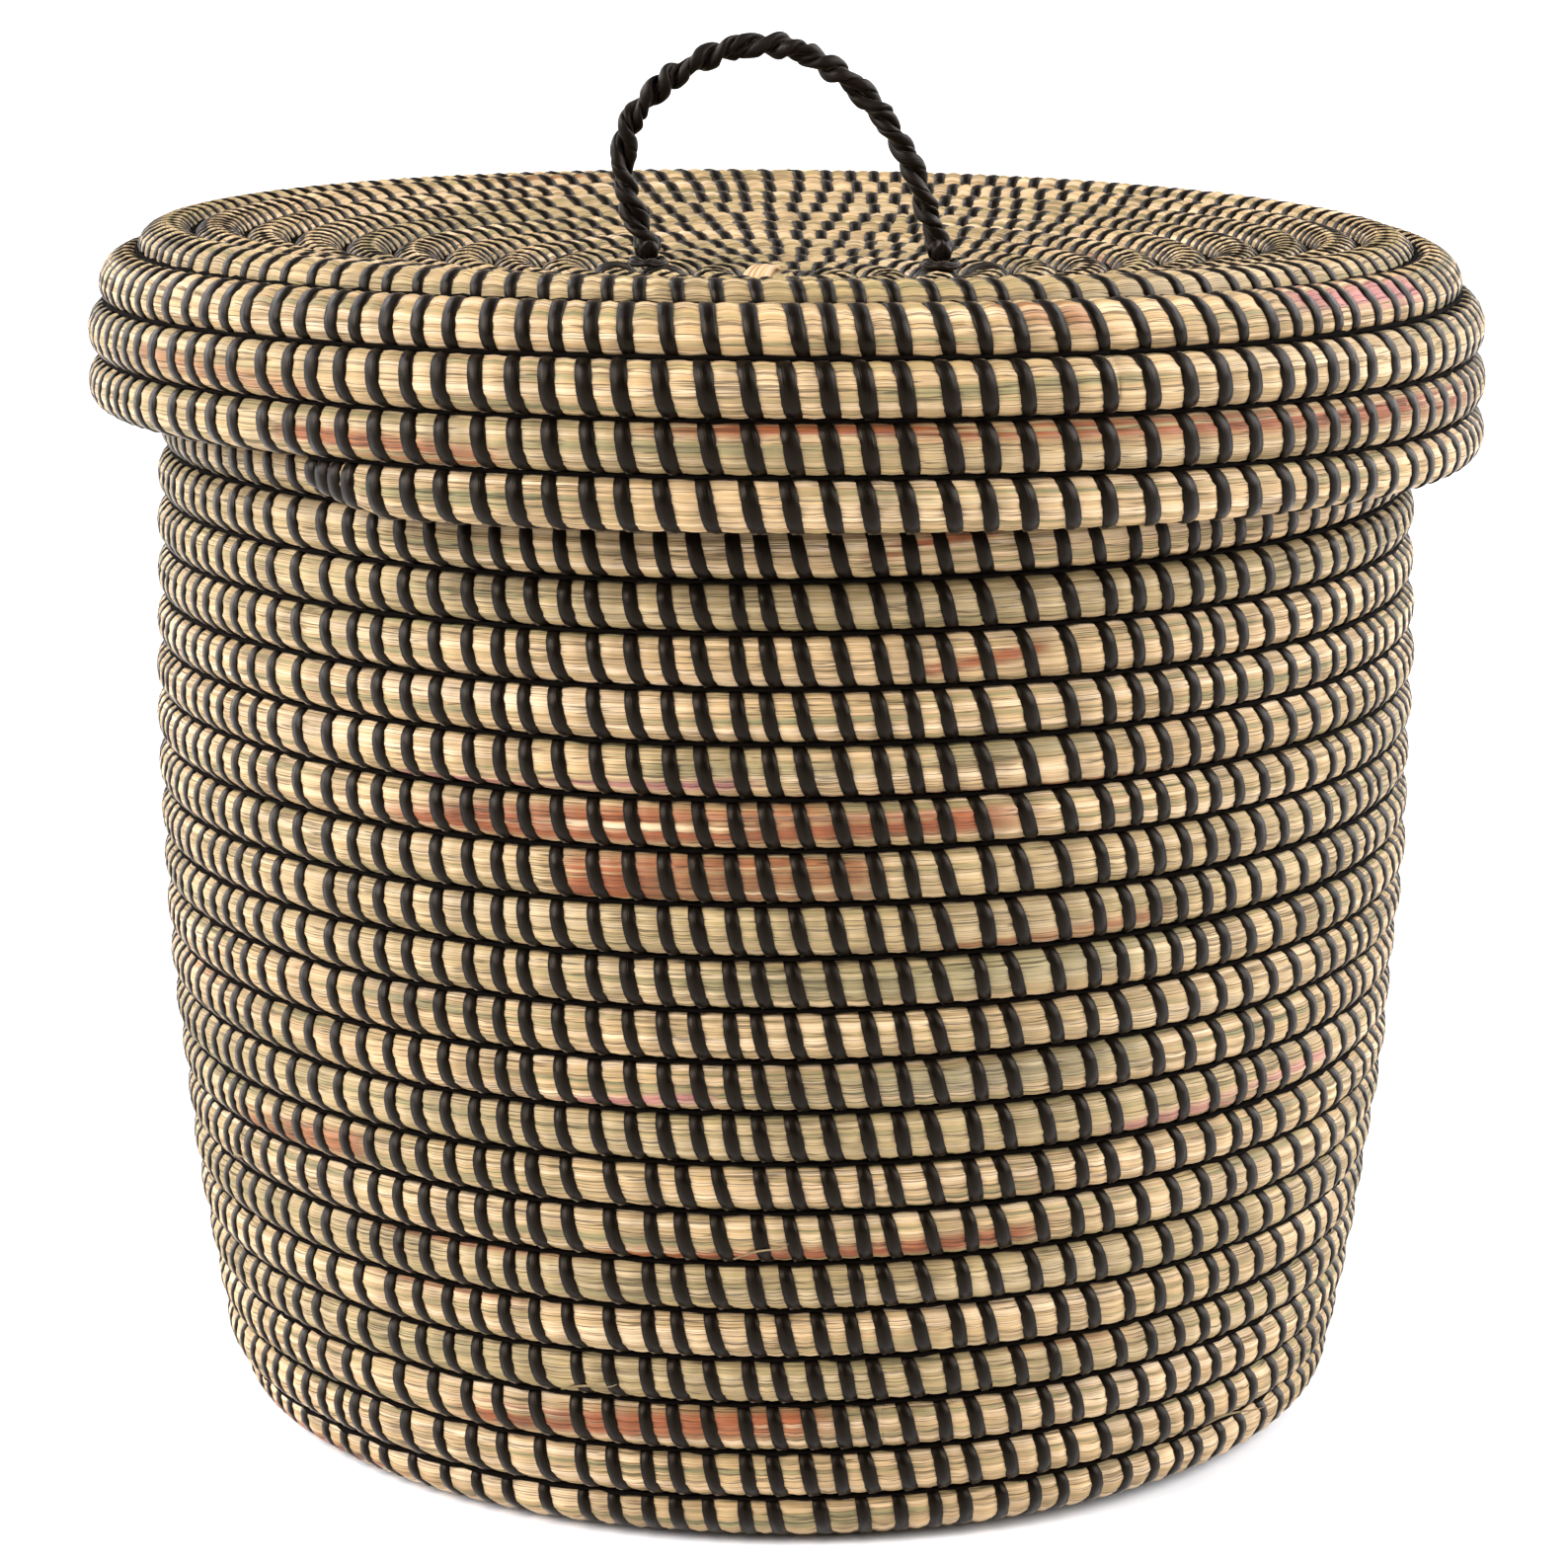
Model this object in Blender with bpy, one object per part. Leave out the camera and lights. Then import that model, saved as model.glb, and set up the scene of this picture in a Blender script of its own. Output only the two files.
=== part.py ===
"""Coiled seagrass storage basket with a lift-off lid and a twisted rope handle.

The basket is one rope of grass laid in a spiral for the base and in a rising helix for the
wall. The lid is a second rope that starts at its centre, runs out over a shallow dish and
down a skirt, and ends in a bound tip. The handle is two twisted strands between two eyes.

Metres, +Z up. The origin is the centre of the base on the floor, and the front is -Y.
"""

import math

import bmesh
import bpy
import numpy as np
from mathutils import Vector

# Clear space between pieces that touch, and between one turn of a coil and the next.
GAP = 0.0003

# Basket: the outer radius follows a parabola below and above its widest height.
COIL_PITCH = 0.0121
COIL_HALF = 0.006
BELLY_RADIUS = 0.158
BELLY_HEIGHT = 0.172
CURVE_BELOW = 0.60
CURVE_ABOVE = 0.40
CORNER_TOP = 0.012
RIM_HEIGHT = 0.2805
BASKET_START_ANGLE = 202.7

# Lid: a dish that rises to the rim, a round shoulder, and an upright skirt.
LID_PITCH = 0.0123
LID_HALF = 0.006
LID_CENTRE_HEIGHT = 0.2754
DISH_RISE = 0.0136
DISH_RADIUS = 0.1460
SKIRT_RADIUS = 0.1663
SKIRT_END_HEIGHT = 0.2473
LID_END_ANGLE = -130.0

# Start knots: the smallest radius of the snail-shaped centre, and its chamfer.
KNOT_RADIUS = 0.005
KNOT_CHAMFER = 0.002

# Coil ends: a sleeve of wound strip over a tip that shrinks to a part of the full size.
BINDING_LENGTH = 0.024
BINDING_WALL = 0.0008
TIP_SIZE = 0.5

# Handle: centreline as (x, height above the hinge), two strands, an eye at each foot.
HANDLE_ROUTE = ((-0.0350, 0.0), (-0.0393, 0.0110), (-0.0411, 0.0210), (-0.0385, 0.0320),
                (-0.0279, 0.0425), (-0.0140, 0.0490), (0.0, 0.0492), (0.0120, 0.0432),
                (0.0218, 0.0341), (0.0300, 0.0215), (0.0338, 0.0110), (0.0378, 0.0))
HINGE_CLEARANCE = 0.0046
STRAND_RADIUS = 0.0016
STRAND_OFFSET = 0.00175
TWIST_LENGTH = 0.016
EYE_RADIUS = 0.004
ANCHOR_INNER = 0.0039
ANCHOR_OUTER = 0.0070
ANCHOR_TOP = -0.0022
TIE_RADIUS = 0.0075
TIE_THICKNESS = 0.004

# Facets
RINGS_PER_TURN = 24
FINE_FROM_RADIUS = 0.070
STRAND_SIDES = 5
RINGS_PER_TWIST = 8
DISC_SIDES = 12
PROFILE_STEP = 0.0002

GRASS = ("seagrass", (0.62, 0.50, 0.30), 0.75)
STRIP = ("black_strip", (0.022, 0.018, 0.015), 0.42)


class Profile:
    """A curve in the (radius, height) plane, measured by the distance along it."""

    def __init__(self, points):
        self.points = np.array(points)
        steps = np.hypot(*np.diff(self.points, axis=0).T)
        self.distances = np.concatenate(([0.0], np.cumsum(steps)))

    def point(self, distance):
        return np.array([np.interp(distance, self.distances, self.points[:, axis])
                         for axis in (0, 1)])

    def at(self, distance, side):
        """Point at a distance, moved sideways to the left of the direction of travel."""
        here = self.point(distance)
        ahead = self.point(distance + PROFILE_STEP) - self.point(distance - PROFILE_STEP)
        radial, rise = ahead / np.hypot(*ahead)
        return here + side * np.array((-rise, radial))


def arc(centre, radius, first, last):
    """Points of an arc between two directions, in degrees from the radius axis."""
    count = max(2, round(abs(math.radians(last - first)) * radius / PROFILE_STEP))
    angles = np.radians(np.linspace(first, last, count))
    return [(centre[0] + radius * math.cos(a), centre[1] + radius * math.sin(a)) for a in angles]


def wall_radius(height):
    curve = CURVE_BELOW if height < BELLY_HEIGHT else CURVE_ABOVE
    return BELLY_RADIUS - curve * (height - BELLY_HEIGHT) ** 2


def basket_profile():
    """Middle of the basket's coil: flat base, round corner, barrel-shaped wall."""
    slope = 2 * CURVE_BELOW * (BELLY_HEIGHT - CORNER_TOP)
    turn = 90.0 - math.degrees(math.atan(slope))
    corner = (CORNER_TOP - COIL_HALF) / (1 - math.cos(math.radians(turn)))
    flat_end = wall_radius(CORNER_TOP) - COIL_HALF - corner * math.sin(math.radians(turn))
    heights = np.arange(CORNER_TOP + PROFILE_STEP, RIM_HEIGHT + 2 * COIL_PITCH, PROFILE_STEP)
    wall = [(wall_radius(height) - COIL_HALF, height) for height in heights]
    bend = arc((flat_end, COIL_HALF + corner), corner, -90.0, turn - 90.0)
    return Profile([(0.0, COIL_HALF)] + bend + wall), flat_end


def lid_profile():
    """Middle of the lid's coil: dish, round shoulder, upright skirt."""
    radii = np.arange(0.0, DISH_RADIUS, PROFILE_STEP)
    dish = [(r, LID_CENTRE_HEIGHT + DISH_RISE * (r / DISH_RADIUS) ** 2) for r in radii]
    slope = math.atan(2 * DISH_RISE / DISH_RADIUS)
    shoulder = (SKIRT_RADIUS - DISH_RADIUS) / (1 + math.sin(slope))
    centre = (SKIRT_RADIUS - shoulder,
              LID_CENTRE_HEIGHT + DISH_RISE - shoulder * math.cos(slope))
    bend = arc(centre, shoulder, 90.0 + math.degrees(slope), 0.0)
    return Profile(dish + bend + [(SKIRT_RADIUS, SKIRT_END_HEIGHT - 2 * LID_PITCH)])


class Coil:
    """A rope of grass wound along a profile, one pitch further on each turn."""

    def __init__(self, profile, pitch, half, angle, hand):
        self.profile = profile
        self.pitch = pitch
        self.half = half
        self.angle = angle
        self.hand = hand
        self.start = KNOT_RADIUS + GAP + pitch / 2

    def turn_at(self, distance):
        return (distance - self.start) / self.pitch

    def split_before(self, distance):
        """The last whole facet before a distance, where one piece can hand over to the next."""
        return math.floor(self.turn_at(distance) * RINGS_PER_TURN) / RINGS_PER_TURN

    def radius_at(self, turn):
        return self.profile.point(self.start + self.pitch * turn)[0]

    def direction(self, turn):
        angle = math.radians(self.angle) + self.hand * 2 * math.pi * turn
        return math.cos(angle), math.sin(angle)

    def ring(self, turn, size=1.0, inset=0.0):
        """Six corners of the rope's section: flat outside and inside, ridges between turns."""
        low = self.start + self.pitch * (turn - 0.5) + GAP / 2 + inset
        width = (self.pitch - GAP) * size - 2 * inset
        half = self.half * (0.3 + 0.7 * size) - inset
        corners = ((0, 0), (0.25, half), (0.75, half), (1, 0), (0.75, -half), (0.25, -half))
        across, along = self.direction(turn)
        points = (self.profile.at(low + width * part, side) for part, side in corners)
        return [Vector((r * across, r * along, z)) for r, z in points]

    def stops(self, first, last):
        """Turn numbers of the rings, with half as many near the centre."""
        stops = [first]
        for index in range(math.floor(first * RINGS_PER_TURN) + 1, math.ceil(last * RINGS_PER_TURN)):
            turn = index / RINGS_PER_TURN
            if index % 2 == 0 or self.radius_at(turn) > FINE_FROM_RADIUS:
                stops.append(turn)
        return stops + [last]

    def along(self, turn, length):
        """The turn number that lies a length further on."""
        return turn + length / (2 * math.pi * self.radius_at(turn))


def loft(rings):
    """A closed solid through rings of corners, capped at both ends."""
    mesh = bmesh.new()
    loops = [[mesh.verts.new(corner) for corner in ring] for ring in rings]
    for here, there in zip(loops, loops[1:]):
        for index in range(len(here)):
            after = (index + 1) % len(here)
            mesh.faces.new((here[index], here[after], there[after], there[index]))
    mesh.faces.new(loops[0])
    mesh.faces.new(loops[-1])
    bmesh.ops.recalc_face_normals(mesh, faces=mesh.faces)
    return mesh


def coil_run(coil, first, last):
    return loft([coil.ring(turn) for turn in coil.stops(first, last)])


def tip_stops(coil, turn):
    """Stops along a bound tip with the share of full size that the binding has at each."""
    shares = np.linspace(0.0, 1.0, 5)
    return [(coil.along(turn, share * BINDING_LENGTH), 1.0 - share ** 2 * (1.0 - TIP_SIZE))
            for share in shares]


def coil_run_with_tip(coil, first, last):
    """A run of coil whose thinner tip fits inside the binding."""
    rings = [coil.ring(turn) for turn in coil.stops(first, last)]
    inset = BINDING_WALL + GAP
    neck = coil.along(last, GAP)
    rings += [coil.ring(turn, size, inset) for turn, size in tip_stops(coil, neck)]
    return loft(rings)


def tip_binding(coil, turn):
    """Wound strip over the tip: a sleeve that is open towards the coil and closed beyond it."""
    neck = coil.along(turn, 2 * GAP)
    stops = tip_stops(coil, neck)
    end, end_size = stops[-1]
    outside = [coil.ring(turn, size) for turn, size in stops]
    cap = [coil.ring(coil.along(end, GAP + BINDING_WALL), end_size)]
    inside = [coil.ring(turn, size, BINDING_WALL) for turn, size in stops]
    hollow_end = [coil.ring(coil.along(end, GAP), end_size, BINDING_WALL)]
    mesh = loft(outside + cap)
    bmesh.ops.delete(mesh, geom=[face for face in mesh.faces if len(face.verts) > 4],
                     context="FACES_ONLY")
    mesh.verts.ensure_lookup_table()
    count = len(outside) + 1
    rims = [[mesh.verts[6 * ring + corner] for corner in range(6)] for ring in (0, count - 1)]
    inner = [[mesh.verts.new(corner) for corner in ring] for ring in inside + hollow_end]
    for here, there in zip([rims[0]] + inner, inner):
        for index in range(6):
            after = (index + 1) % 6
            mesh.faces.new((here[index], here[after], there[after], there[index]))
    mesh.faces.new(inner[-1])
    mesh.faces.new(rims[1])
    bmesh.ops.recalc_face_normals(mesh, faces=mesh.faces)
    return mesh


def start_knot(coil):
    """The folded start that the first turn is wound round: a disc with a snail's outline."""
    sides = RINGS_PER_TURN // 2
    middle = coil.profile.point(0.0)[1]
    turns = [index / sides for index in range(sides)] + [1.0 - GAP / (2 * math.pi * KNOT_RADIUS)]
    rings = []
    for height, inset in ((-coil.half, KNOT_CHAMFER), (0.0, 0.0), (coil.half, KNOT_CHAMFER)):
        ring = []
        for turn in turns:
            across, along = coil.direction(turn)
            radius = KNOT_RADIUS + coil.pitch * turn - inset
            ring.append(Vector((radius * across, radius * along, middle + height)))
        rings.append(ring)
    return loft(rings)


def disc(centre, radius, thickness, chamfer):
    """A flat round pad with chamfered edges."""
    rings = []
    for height, size in ((0.0, radius - chamfer), (chamfer, radius),
                         (thickness - chamfer, radius), (thickness, radius - chamfer)):
        angles = [2 * math.pi * index / DISC_SIDES for index in range(DISC_SIDES)]
        rings.append([centre + Vector((size * math.cos(a), size * math.sin(a), height))
                      for a in angles])
    return loft(rings)


def washer(centre, inner, outer, thickness):
    """A flat ring, as a closed band of four-cornered sections."""
    mesh = bmesh.new()
    section = ((inner, 0.0), (outer, 0.0), (outer, thickness), (inner, thickness))
    loops = []
    for index in range(DISC_SIDES):
        angle = 2 * math.pi * index / DISC_SIDES
        loops.append([mesh.verts.new(centre + Vector((r * math.cos(angle), r * math.sin(angle), z)))
                      for r, z in section])
    for here, there in zip(loops, loops[1:] + loops[:1]):
        for corner in range(4):
            after = (corner + 1) % 4
            mesh.faces.new((here[corner], here[after], there[after], there[corner]))
    bmesh.ops.recalc_face_normals(mesh, faces=mesh.faces)
    return mesh


def ball(centre, radius):
    mesh = bmesh.new()
    bmesh.ops.create_icosphere(mesh, subdivisions=2, radius=radius)
    bmesh.ops.translate(mesh, verts=mesh.verts, vec=centre)
    return mesh


def smooth_route(points, step):
    """Evenly spaced points on a Catmull-Rom curve through the given (x, z) points."""
    knots = [np.array(point) for point in points]
    knots = [2 * knots[0] - knots[1]] + knots + [2 * knots[-1] - knots[-2]]
    dense = []
    for before, start, end, after in zip(knots, knots[1:], knots[2:], knots[3:]):
        for t in np.linspace(0.0, 1.0, 40, endpoint=False):
            dense.append(0.5 * (2 * start + (end - before) * t
                                + (2 * before - 5 * start + 4 * end - after) * t ** 2
                                + (3 * start - before - 3 * end + after) * t ** 3))
    dense = np.array(dense + [knots[-2]])
    lengths = np.concatenate(([0.0], np.cumsum(np.hypot(*np.diff(dense, axis=0).T))))
    distances = np.linspace(0.0, lengths[-1], round(lengths[-1] / step) + 1)
    return distances, [np.array([np.interp(d, lengths, dense[:, axis]) for axis in (0, 1)])
                       for d in distances]


def strand(hinge_height, phase):
    """One of the handle's strands: a tube twisted round the centreline, clear of the eyes."""
    distances, route = smooth_route(HANDLE_ROUTE, TWIST_LENGTH / RINGS_PER_TWIST)
    centres = []
    for index, (distance, point) in enumerate(zip(distances, route)):
        ahead = route[min(index + 1, len(route) - 1)] - route[max(index - 1, 0)]
        tangent = Vector((ahead[0], 0.0, ahead[1])).normalized()
        outward = Vector((-tangent.z, 0.0, tangent.x))
        angle = phase + 2 * math.pi * distance / TWIST_LENGTH
        swing = outward * math.cos(angle) + Vector((0.0, 1.0, 0.0)) * math.sin(angle)
        centre = Vector((point[0], 0.0, point[1] + hinge_height))
        centres.append(centre + STRAND_OFFSET * swing)
    clear = EYE_RADIUS + STRAND_RADIUS / 2
    kept = [index for index, distance in enumerate(distances)
            if clear < distance < distances[-1] - clear]
    return tube([centres[index] for index in kept])


def tube(centres):
    """A strand's solid round its centreline, with sections square to it."""
    rings = []
    for index, centre in enumerate(centres):
        ahead = centres[min(index + 1, len(centres) - 1)] - centres[max(index - 1, 0)]
        tangent = ahead.normalized()
        side = tangent.cross(Vector((0.0, 1.0, 0.0))).normalized()
        up = side.cross(tangent)
        angles = [2 * math.pi * corner / STRAND_SIDES for corner in range(STRAND_SIDES)]
        rings.append([centre + STRAND_RADIUS * (side * math.cos(a) + up * math.sin(a))
                      for a in angles])
    return loft(rings)


def material(look):
    name, colour, roughness = look
    if name in bpy.data.materials:
        return bpy.data.materials[name]
    made = bpy.data.materials.new(name)
    made.use_nodes = True
    shader = made.node_tree.nodes["Principled BSDF"]
    shader.inputs["Base Color"].default_value = (*colour, 1.0)
    shader.inputs["Roughness"].default_value = roughness
    shader.inputs["Metallic"].default_value = 0.0
    return made


def empty(name, location, parent=None):
    """A frame for a moving body, placed on its joint's axis."""
    made = bpy.data.objects.new(name, None)
    bpy.context.scene.collection.objects.link(made)
    made.parent = parent
    made.location = location
    return made


def world_origin(thing):
    return thing.location + world_origin(thing.parent) if thing else Vector()


def add(name, mesh, look, parent=None):
    """A named object from a mesh in world places, with its origin at its parent's."""
    bmesh.ops.translate(mesh, verts=mesh.verts, vec=-world_origin(parent))
    data = bpy.data.meshes.new(name)
    mesh.to_mesh(data)
    mesh.free()
    data.shade_smooth()
    data.set_sharp_from_angle(angle=math.radians(40.0))
    data.materials.append(material(look))
    made = bpy.data.objects.new(name, data)
    bpy.context.scene.collection.objects.link(made)
    made.parent = parent


def make_basket():
    profile, flat_end = basket_profile()
    coil = Coil(profile, COIL_PITCH, COIL_HALF, BASKET_START_ANGLE, 1)
    base_end = coil.split_before(flat_end)
    top = np.interp(RIM_HEIGHT, profile.points[:, 1], profile.distances) - COIL_PITCH / 2
    rim_end = coil.turn_at(top)
    add("base_start_knot", start_knot(coil), GRASS)
    add("base_coil", coil_run(coil, 0.0, base_end), GRASS)
    add("wall_coil", coil_run_with_tip(coil, coil.along(base_end, GAP), rim_end), GRASS)
    add("rim_end_binding", tip_binding(coil, rim_end), STRIP)


def make_lid(frame):
    profile = lid_profile()
    dish_length = np.interp(DISH_RADIUS - PROFILE_STEP, profile.points[:, 0], profile.distances)
    end_distance = profile.distances[-1] - 2 * LID_PITCH
    coil = Coil(profile, LID_PITCH, LID_HALF, 0.0, -1)
    end = coil.turn_at(end_distance)
    coil.angle = LID_END_ANGLE + 360.0 * end
    dish_end = coil.split_before(dish_length)
    add("lid_start_knot", start_knot(coil), GRASS, frame)
    add("lid_top_coil", coil_run(coil, 0.0, dish_end), GRASS, frame)
    add("lid_skirt_coil", coil_run_with_tip(coil, coil.along(dish_end, GAP), end), GRASS, frame)
    add("lid_end_binding", tip_binding(coil, end), STRIP, frame)


def dish_height(radius):
    return LID_CENTRE_HEIGHT + DISH_RISE * (radius / DISH_RADIUS) ** 2


def make_handle(lid_frame, handle_frame):
    """The twisted handle on its hinge, and what holds each foot to the lid."""
    hinge = world_origin(handle_frame)
    add("handle_strand_front", strand(hinge.z, 0.0), STRIP, handle_frame)
    add("handle_strand_back", strand(hinge.z, math.pi), STRIP, handle_frame)
    for side, foot in (("left", HANDLE_ROUTE[0][0]), ("right", HANDLE_ROUTE[-1][0])):
        centre = Vector((foot, 0.0, hinge.z))
        surface = dish_height(foot) + LID_HALF + 2 * GAP
        height = hinge.z + ANCHOR_TOP - surface
        underside = dish_height(foot) - LID_HALF - 2 * GAP - TIE_THICKNESS
        add(f"handle_eye_{side}", ball(centre, EYE_RADIUS), STRIP, handle_frame)
        add(f"handle_anchor_{side}",
            washer(Vector((foot, 0.0, surface)), ANCHOR_INNER, ANCHOR_OUTER, height),
            STRIP, lid_frame)
        add(f"handle_tie_{side}",
            disc(Vector((foot, 0.0, underside)), TIE_RADIUS, TIE_THICKNESS, KNOT_CHAMFER / 2),
            STRIP, lid_frame)


def main():
    for thing in list(bpy.data.objects):
        bpy.data.objects.remove(thing, do_unlink=True)
    lid_frame = empty("lid_frame", Vector((0.0, 0.0, RIM_HEIGHT)))
    foot_radius = max(abs(HANDLE_ROUTE[0][0]), abs(HANDLE_ROUTE[-1][0])) + ANCHOR_OUTER
    hinge_height = dish_height(foot_radius) + LID_HALF + HINGE_CLEARANCE
    hinge = Vector((0.0, 0.0, hinge_height))
    handle_frame = empty("handle_hinge", hinge - lid_frame.location, lid_frame)
    make_basket()
    make_lid(lid_frame)
    make_handle(lid_frame, handle_frame)


main()
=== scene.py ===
"""Looks of the coiled seagrass basket: grass rope, sewn black strip and a twisted handle.

Every rope follows the same spiral as its CAD coil. A rope is a long mesh whose surface
swells between the stitches, and the strip is a long ribbon that winds round it.
"""

import math
import random

import bpy
import numpy as np
from mathutils import Matrix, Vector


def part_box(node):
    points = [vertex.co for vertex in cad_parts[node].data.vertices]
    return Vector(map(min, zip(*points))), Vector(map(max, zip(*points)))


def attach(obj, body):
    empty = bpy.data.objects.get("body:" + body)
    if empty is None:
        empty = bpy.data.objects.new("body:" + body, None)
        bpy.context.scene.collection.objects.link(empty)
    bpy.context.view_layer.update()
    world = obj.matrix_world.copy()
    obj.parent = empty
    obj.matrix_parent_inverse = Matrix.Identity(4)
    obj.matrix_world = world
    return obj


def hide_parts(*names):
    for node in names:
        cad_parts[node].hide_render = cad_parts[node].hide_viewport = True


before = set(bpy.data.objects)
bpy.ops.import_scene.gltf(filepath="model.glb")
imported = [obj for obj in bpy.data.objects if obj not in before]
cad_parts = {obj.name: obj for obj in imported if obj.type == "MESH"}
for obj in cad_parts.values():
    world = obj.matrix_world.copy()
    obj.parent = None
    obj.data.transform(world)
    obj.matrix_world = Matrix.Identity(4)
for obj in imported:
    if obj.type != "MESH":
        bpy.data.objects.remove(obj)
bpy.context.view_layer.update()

# The coils' form, in metres and degrees, as the CAD has it.
GAP = 0.0003
KNOT_RADIUS = 0.005
COIL_HALF = 0.006
TIP_LENGTH = 0.021
BASKET_PITCH = 0.0121
BELLY_RADIUS = 0.158
BELLY_HEIGHT = 0.172
CURVE_BELOW = 0.60
CURVE_ABOVE = 0.40
CORNER_TOP = 0.012
RIM_HEIGHT = 0.2805
BASKET_START_ANGLE = 202.7
LID_PITCH = 0.0123
LID_CENTRE_HEIGHT = 0.2754
DISH_RISE = 0.0136
DISH_RADIUS = 0.1460
SKIRT_RADIUS = 0.1663
SKIRT_END_HEIGHT = 0.2476
LID_END_ANGLE = -121.5
PROFILE_STEP = 0.0002

# Where the base ends, this far down the profile from the corner's top.
CORNER_LENGTH = 0.014

# Grass rope
ROPE_HALF = 0.0060         # half its thickness through the wall
ROPE_SQUARENESS = 2.25     # 2 would be round
ROPE_SIDES = 36
ROPE_STEP = 0.00115
ROPE_PIECE = 2.6           # longest stretch in one object
TIP_SIZE = 0.45            # of the full section, at the rope's end
TIP_ROUNDNESS = 0.7
PINCH = 0.085              # share of the section that a stitch takes in
SHOULDER = 0.0021          # from the edge of a stitch to the rope's full swell
WOBBLE = 0.00035           # of a row, in and out
WANDER = 0.00042           # of a groove, up and down
FIBRE_RELIEF = 0.020       # share of the section

# Sewn strip
BASKET_STITCH = 0.0077
LID_STITCH = 0.0088
BASKET_STRIP = 0.0037
LID_STRIP = 0.0042
STRIP_THICKNESS = 0.00052
STRIP_STEPS = 20
STRIP_HOLD = 0.45          # share of its width, each side of its middle, that presses
BASKET_LEAN = 0.62         # share of the spacing that a stitch moves along outside
LID_LEAN = 0.48
BASKET_BOW = 0.35          # how much of that lean comes late
DISH_SHARE = 0.78          # the dish is sewn this much closer than the skirt
DISH_SEWING_ENDS = (1.12, 1.3)  # where that fades out, in lengths of the dish's rope
STITCH_SPREAD = (0.92, 1.08)    # of the usual spacing, where a stitch stands free
BESIDE_SPREAD = (0.72, 1.36)    # of it, where a stitch may follow the row before
STITCH_DRIFT = 0.0011
STITCH_SLIP = 0.0003
BINDING_LENGTH = 0.019
BINDING_SPACING = 0.46     # of the usual spacing, round the rope's end
GROOVE_DEPTH = 0.0032
GROOVE_HALF = 0.00040
GROOVE_STEP = 0.004
GROOVE_ROUGHNESS = 0.0006
LASHING_SPACING = 0.0034
LASHING_LIFT = 0.0005

# The lid's edge hangs lower at its sides, more at the right, from the shoulder outwards.
SAG_SIDES = 0.0035
SAG_RIGHT = 0.0015
SAG_ZONE = (0.125, 0.190)

# Folded leaf over the lid's start: its ends in plan, and the x of the strips across it.
LEAF_ENDS = ((-0.0085, -0.0070), (-0.0040, 0.0075))
LEAF_WIDTH = 0.0078
LEAF_THICKNESS = 0.0007
START_STRIPS = (-0.0012, 0.0018, 0.0046)
START_STRIP_WIDTH = 0.0030
START_STRIP_REACH = 0.0078

# Loose straws: as (height, degrees, reach, way out) for two in front, and some more.
FRONT_STRAWS = ((0.0787, -94.0, 0.012, 0.0015), (0.0182, -44.0, 0.014, 0.0070))
STRAW_RADIUS = 0.00042
STRAW_COUNT = 8

# Handle: centreline as (x, height above the hinge), as the CAD has it.
HANDLE_ROUTE = ((-0.0350, 0.0), (-0.0393, 0.0110), (-0.0411, 0.0210), (-0.0385, 0.0320),
                (-0.0279, 0.0425), (-0.0140, 0.0490), (0.0, 0.0492), (0.0120, 0.0432),
                (0.0218, 0.0341), (0.0300, 0.0215), (0.0338, 0.0110), (0.0378, 0.0))
HANDLE_STEP = 0.0005
TWIST_LENGTH = 0.0165
STRAND_OFFSET = 0.00150
PLY_TWIST = 0.0105
PLY_OFFSET = 0.00085
PLY_HALF_WIDTH = 0.00152
PLY_HALF_THICKNESS = 0.00098
PLY_SIDES = 14
FOOT_KNOT_RADIUS = 0.0032

# Strip wound round each foot, as (first, last) radius and depth: under the hinge for the
# anchor, and inside the CAD tie's top and bottom for the tie.
ANCHOR_RADII = (0.0036, 0.0046)
ANCHOR_DEPTHS = (0.0030, 0.0040)
ANCHOR_STRIP = 0.0018
TIE_RADII = (0.0070, 0.0008)
TIE_INSETS = (0.0012, 0.0005)
TIE_STRIP = 0.0030

# View
CAMERA_DISTANCE = 1.1229
CAMERA_HEIGHT = 0.3977
CAMERA_PITCH = 12.36
CAMERA_ROLL = 0.46
CAMERA_LENS = 103.5

# Lights: name, direction from the front, height in degrees, strength, width, colour
LIGHTS = (("key_left", -70.0, 33.0, 5.4, 45.0, (0.99, 1.0, 1.06)),
          ("key_right", 79.0, 33.0, 4.4, 45.0, (0.98, 1.0, 1.05)),
          ("back_left", -128.0, 22.0, 1.9, 50.0, (1.0, 1.0, 1.05)),
          ("back_right", 128.0, 22.0, 1.7, 50.0, (1.0, 1.0, 1.05)),
          ("front_left", -40.0, 46.0, 0.3, 12.0, (1.0, 0.88, 0.70)))
WORLD_COLOUR = (1.0, 0.90, 0.76, 1.0)
WORLD_STRENGTH = 0.16
FLOOR_COLOUR = (0.93, 0.93, 0.94)


# --------------------------------------------------------------------------- profiles

class Profile:
    """A curve in the (radius, height) plane, measured by the distance along it."""

    def __init__(self, points):
        self.points = np.array(points)
        steps = np.hypot(*np.diff(self.points, axis=0).T)
        self.distances = np.concatenate(([0.0], np.cumsum(steps)))
        ahead = np.gradient(self.points, self.distances, axis=0)
        ahead /= np.linalg.norm(ahead, axis=1)[:, None]
        self.left = np.stack((-ahead[:, 1], ahead[:, 0]), axis=1)

    def at(self, distance, side):
        """Radius and height at distances, moved sideways to the left of the travel."""
        place = [np.interp(distance, self.distances, self.points[:, axis]) for axis in (0, 1)]
        left = [np.interp(distance, self.distances, self.left[:, axis]) for axis in (0, 1)]
        return place[0] + side * left[0], place[1] + side * left[1]

    def distance_at_height(self, height):
        """Distance where a profile that only rises reaches a height."""
        return float(np.interp(height, self.points[:, 1], self.distances))


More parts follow.
